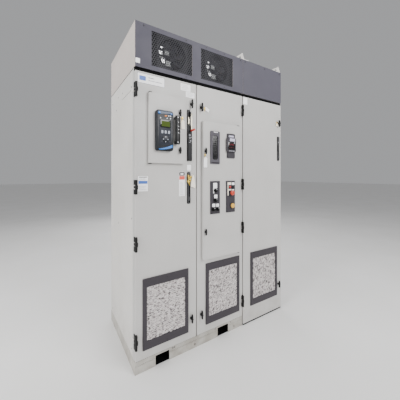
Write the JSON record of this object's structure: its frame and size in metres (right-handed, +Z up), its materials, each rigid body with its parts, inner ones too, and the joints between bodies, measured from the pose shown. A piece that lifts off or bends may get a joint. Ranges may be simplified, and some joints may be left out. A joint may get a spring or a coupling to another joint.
{
  "type": "variable frequency drive cabinet",
  "caption": "Floor-standing enclosed variable frequency drive: hinged doors with filters, control doors, operators, vented hood with fans and drive parts inside.",
  "frame": {"origin": "centre of the whole bounding box, at floor level", "axes": "+X to the right seen from the front, +Y from the doors to the back, +Z up"},
  "size_m": [1.434, 0.764, 2.348],
  "materials": {
    "plinth_paint": "satin grey paint",
    "frame_paint": "satin grey paint",
    "cabinet_paint": "fine textured light grey powder coat",
    "door_paint": "fine textured light grey powder coat",
    "hood_paint": "satin dark grey powder coat",
    "lifting_paint": "satin light grey paint",
    "grille_black": "matte black perforated steel",
    "fan_black": "matte",
    "rotor_grey": "matte",
    "hinge_black": "black powder coated zinc casting",
    "screw_dark": "blackened steel",
    "zinc_plate": "galvanised steel",
    "breaker_black": "moulded, fine texture",
    "drive_grey": "moulded, fine texture",
    "heatsink_aluminium": "extruded",
    "contactor_ivory": "moulded",
    "terminal_grey": "moulded",
    "copper_bar": "tinned copper bar",
    "core_steel": "laminated, lacquered",
    "coil_varnish": "varnished winding",
    "filter_grey": "dark grey moulded frame with silvery media",
    "latch_black": "moulded",
    "handle_grey": "moulded",
    "operator_black": "satin black paint",
    "lever_red": "dipped grip on a steel arm",
    "keypad_dark": "dark housing with blue bands",
    "bow_handle_black": "moulded",
    "bezel_grey": "moulded",
    "device_grey": "moulded",
    "selector_black": "moulded",
    "button_red": "moulded",
    "stop_red": "moulded",
    "reset_amber": "translucent moulded"
  },
  "bodies": {
    "cabinet": {"plinth_frame": "plinth_paint", "main_frame": "frame_paint", "right_frame": "frame_paint", "outer_panels": "cabinet_paint", "hood_covers": "hood_paint", "hood_grilles": "grille_black", "lifting_angles": "lifting_paint", "mounting_plates": "zinc_plate", "fan_frames": "fan_black", "frame_hinges": "hinge_black", "cover_screws": "screw_dark", "circuit_breaker": "breaker_black", "drive_module": "drive_grey", "drive_heatsink": "heatsink_aluminium", "contactors": "contactor_ivory", "terminal_rail": "terminal_grey", "bus_bars": "copper_bar", "transformer_core": "core_steel", "transformer_coils": "coil_varnish"},
    "left_door": {"left_door": "door_paint", "left_filter": "filter_grey", "left_door_hinges": "hinge_black", "left_handle_base": "latch_black", "operator_plate": "operator_black"},
    "control_door": {"control_door": "door_paint", "keypad": "keypad_dark", "control_handle": "bow_handle_black"},
    "middle_door": {"middle_door": "door_paint", "middle_filter": "filter_grey", "middle_door_hinges": "hinge_black"},
    "panel_door": {"panel_door": "door_paint", "meter_bezel": "bezel_grey", "relay": "device_grey", "pilot_plates": "device_grey"},
    "right_door": {"right_door": "door_paint", "right_filter": "filter_grey", "right_handle_base": "latch_black"},
    "fan_rotor_left": {"fan_rotor_left": "rotor_grey"},
    "fan_rotor_middle": {"fan_rotor_middle": "rotor_grey"},
    "left_handle": {"left_handle": "handle_grey"},
    "left_latch_top": {"left_latch_top": "latch_black"},
    "left_latch_bottom": {"left_latch_bottom": "latch_black"},
    "breaker_lever": {"breaker_lever": "lever_red"},
    "control_latch_top": {"control_latch_top": "latch_black"},
    "control_latch_bottom": {"control_latch_bottom": "latch_black"},
    "middle_latch_top": {"middle_latch_top": "latch_black"},
    "middle_latch_bottom": {"middle_latch_bottom": "latch_black"},
    "selector_top": {"selector_top": "selector_black"},
    "selector_middle": {"selector_middle": "selector_black"},
    "selector_low_left": {"selector_low_left": "selector_black"},
    "selector_low_right": {"selector_low_right": "selector_black"},
    "push_button_left": {"push_button_left": "button_red"},
    "push_button_right": {"push_button_right": "selector_black"},
    "stop_button": {"stop_button": "stop_red"},
    "reset_button": {"reset_button": "reset_amber"},
    "panel_latch_top": {"panel_latch_top": "latch_black"},
    "panel_latch_bottom": {"panel_latch_bottom": "latch_black"},
    "right_handle": {"right_handle": "handle_grey"},
    "right_latch_top": {"right_latch_top": "latch_black"},
    "right_latch_bottom": {"right_latch_bottom": "latch_black"}
  },
  "joints": [
    {"name": "left_door_hinge", "type": "hinge", "parent": "cabinet", "child": "left_door", "pos_m": [-0.709, -0.332, 1], "axis": [0, 0, 1], "range_deg": [-110, 0]},
    {"name": "middle_door_hinge", "type": "hinge", "parent": "cabinet", "child": "middle_door", "pos_m": [0.208, -0.332, 1], "axis": [0, 0, 1], "range_deg": [0, 100]},
    {"name": "right_door_hinge", "type": "hinge", "parent": "cabinet", "child": "right_door", "pos_m": [0.226, -0.312, 1], "axis": [0, 0, 1], "range_deg": [-95, 0]},
    {"name": "control_door_hinge", "type": "hinge", "parent": "left_door", "child": "control_door", "pos_m": [-0.621, -0.337, 1.6], "axis": [0, 0, 1], "range_deg": [-100, 0]},
    {"name": "panel_door_hinge", "type": "hinge", "parent": "middle_door", "child": "panel_door", "pos_m": [0.151, -0.337, 1.2], "axis": [0, 0, -1], "range_deg": [-90, 0]},
    {"name": "left_latch_bottom_turn", "type": "hinge", "parent": "left_door", "child": "left_latch_bottom", "pos_m": [-0.296, -0.318, 0.238], "axis": [0, -1, 0], "range_deg": [0, 90]},
    {"name": "left_latch_top_turn", "type": "hinge", "parent": "left_door", "child": "left_latch_top", "pos_m": [-0.296, -0.318, 1.812], "axis": [0, -1, 0], "range_deg": [0, 90]},
    {"name": "control_latch_bottom_turn", "type": "hinge", "parent": "control_door", "child": "control_latch_bottom", "pos_m": [-0.404, -0.318, 1.463], "axis": [0, -1, 0], "range_deg": [0, 90]},
    {"name": "control_latch_top_turn", "type": "hinge", "parent": "control_door", "child": "control_latch_top", "pos_m": [-0.404, -0.318, 1.726], "axis": [0, -1, 0], "range_deg": [0, 90]},
    {"name": "middle_latch_bottom_turn", "type": "hinge", "parent": "middle_door", "child": "middle_latch_bottom", "pos_m": [-0.209, -0.318, 0.238], "axis": [0, 1, 0], "range_deg": [0, 90]},
    {"name": "middle_latch_top_turn", "type": "hinge", "parent": "middle_door", "child": "middle_latch_top", "pos_m": [-0.209, -0.318, 1.802], "axis": [0, 1, 0], "range_deg": [0, 90]},
    {"name": "panel_latch_bottom_turn", "type": "hinge", "parent": "panel_door", "child": "panel_latch_bottom", "pos_m": [-0.187, -0.318, 0.862], "axis": [0, 1, 0], "range_deg": [0, 90]},
    {"name": "panel_latch_top_turn", "type": "hinge", "parent": "panel_door", "child": "panel_latch_top", "pos_m": [-0.187, -0.318, 1.471], "axis": [0, 1, 0], "range_deg": [0, 90]},
    {"name": "right_latch_bottom_turn", "type": "hinge", "parent": "right_door", "child": "right_latch_bottom", "pos_m": [0.676, -0.318, 0.244], "axis": [0, -1, 0], "range_deg": [0, 90]},
    {"name": "right_latch_top_turn", "type": "hinge", "parent": "right_door", "child": "right_latch_top", "pos_m": [0.676, -0.318, 1.785], "axis": [0, -1, 0], "range_deg": [0, 90]},
    {"name": "left_handle_turn", "type": "hinge", "parent": "left_door", "child": "left_handle", "pos_m": [-0.318, -0.318, 1.291], "axis": [0, 1, 0], "range_deg": [0, 90]},
    {"name": "right_handle_turn", "type": "hinge", "parent": "right_door", "child": "right_handle", "pos_m": [0.674, -0.318, 1.638], "axis": [0, 1, 0], "range_deg": [0, 90]},
    {"name": "breaker_lever_throw", "type": "hinge", "parent": "left_door", "child": "breaker_lever", "pos_m": [-0.304, -0.334, 1.735], "axis": [-1, 0, 0], "range_deg": [0, 85]},
    {"name": "selector_top_turn", "type": "hinge", "parent": "panel_door", "child": "selector_top", "pos_m": [-0.101, -0.351, 1.172], "axis": [0, -1, 0], "range_deg": [-45, 45]},
    {"name": "selector_middle_turn", "type": "hinge", "parent": "panel_door", "child": "selector_middle", "pos_m": [-0.101, -0.351, 1.098], "axis": [0, -1, 0], "range_deg": [-45, 45]},
    {"name": "selector_low_left_turn", "type": "hinge", "parent": "panel_door", "child": "selector_low_left", "pos_m": [-0.12, -0.351, 1.029], "axis": [0, -1, 0], "range_deg": [-45, 45]},
    {"name": "selector_low_right_turn", "type": "hinge", "parent": "panel_door", "child": "selector_low_right", "pos_m": [-0.081, -0.351, 1.029], "axis": [0, -1, 0], "range_deg": [-45, 45]},
    {"name": "push_button_left_press", "type": "slide", "parent": "panel_door", "child": "push_button_left", "axis": [0, 1, 0], "range_m": [0, 0.004], "stiffness_N_per_m": 300},
    {"name": "push_button_right_press", "type": "slide", "parent": "panel_door", "child": "push_button_right", "axis": [0, 1, 0], "range_m": [0, 0.004], "stiffness_N_per_m": 300},
    {"name": "stop_button_press", "type": "slide", "parent": "panel_door", "child": "stop_button", "axis": [0, 1, 0], "range_m": [0, 0.0045], "stiffness_N_per_m": 600},
    {"name": "reset_button_press", "type": "slide", "parent": "panel_door", "child": "reset_button", "axis": [0, 1, 0], "range_m": [0, 0.004], "stiffness_N_per_m": 400},
    {"name": "fan_left_spin", "type": "hinge", "parent": "cabinet", "child": "fan_rotor_left", "pos_m": [-0.444, -0.278, 2.137], "axis": [0, 1, 0], "continuous": true},
    {"name": "fan_middle_spin", "type": "hinge", "parent": "cabinet", "child": "fan_rotor_middle", "pos_m": [-0.052, -0.278, 2.137], "axis": [0, 1, 0], "continuous": true}
  ]
}
